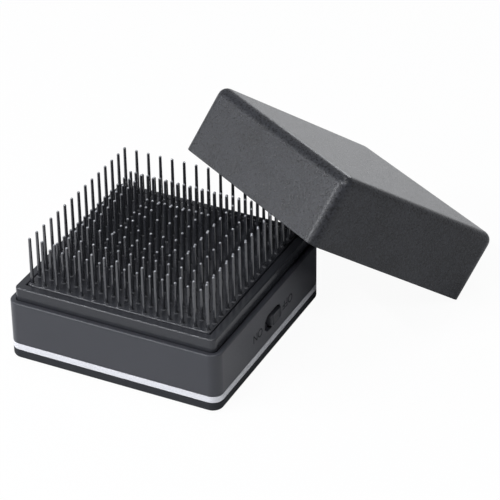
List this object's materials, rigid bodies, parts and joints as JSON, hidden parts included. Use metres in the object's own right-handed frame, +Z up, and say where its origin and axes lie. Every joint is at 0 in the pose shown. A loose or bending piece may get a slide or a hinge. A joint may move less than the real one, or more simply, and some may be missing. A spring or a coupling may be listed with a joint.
{
  "type": "ionic styling brush",
  "caption": "Square battery-powered ionic styling brush with a pin pad in three pin lengths, a side slide switch and a battery door, its cap taken off and leaning on the pins.",
  "frame": {"origin": "centre of the base's underside, on the face that the brush stands on", "axes": "+Z up through the pins, +X towards the face with the slide switch, -Y towards the face at the front of the picture"},
  "size_m": [0.1159, 0.1287, 0.0578],
  "materials": {
    "housing_plastic": "satin",
    "cap_plastic": "satin",
    "neck_plastic": "satin",
    "pad_plastic": "satin",
    "cover_plastic": "satin",
    "band_plastic": "gloss",
    "knob_plastic": "satin",
    "inner_plastic": "matte",
    "cell_case": "satin",
    "steel": "brushed",
    "board_laminate": "matte",
    "black_plastic": "matte",
    "red_plastic": "matte"
  },
  "bodies": {
    "base": {"bottom_cover": "cover_plastic", "trim_band": "band_plastic", "housing_shell": "housing_plastic", "neck_frame": "neck_plastic", "pin_pad": "pad_plastic", "pad_carrier": "inner_plastic", "emitter_holder": "black_plastic", "emitter_needle": "steel", "battery_tray": "black_plastic", "battery_1": "cell_case", "battery_2": "cell_case", "bridge_contact": "steel", "terminal_negative": "steel", "terminal_positive": "steel", "contact_spring_1": "steel", "contact_spring_2": "steel", "ion_module": "black_plastic", "circuit_board": "board_laminate", "capacitor": "black_plastic", "switch_body": "steel", "case_screw_1": "steel", "case_screw_2": "steel", "case_screw_3": "steel", "case_screw_4": "steel", "board_screw_1": "steel", "board_screw_2": "steel", "lead_positive": "red_plastic", "lead_negative": "black_plastic", "lead_emitter": "inner_plastic"},
    "cap": {"cap_shell": "cap_plastic"},
    "switch": {"switch_knob": "knob_plastic", "switch_slider": "black_plastic"},
    "door": {"battery_door": "cover_plastic"}
  },
  "joints": [
    {"name": "cap_lift", "type": "slide", "parent": "base", "child": "cap", "axis": [0, 0, 1], "range_m": [0, 0.06]},
    {"name": "switch_slide", "type": "slide", "parent": "base", "child": "switch", "axis": [0, -1, 0], "range_m": [0, 0.002]},
    {"name": "battery_door_slide", "type": "slide", "parent": "base", "child": "door", "axis": [-1, 0, 0], "range_m": [0, 0.056]}
  ]
}
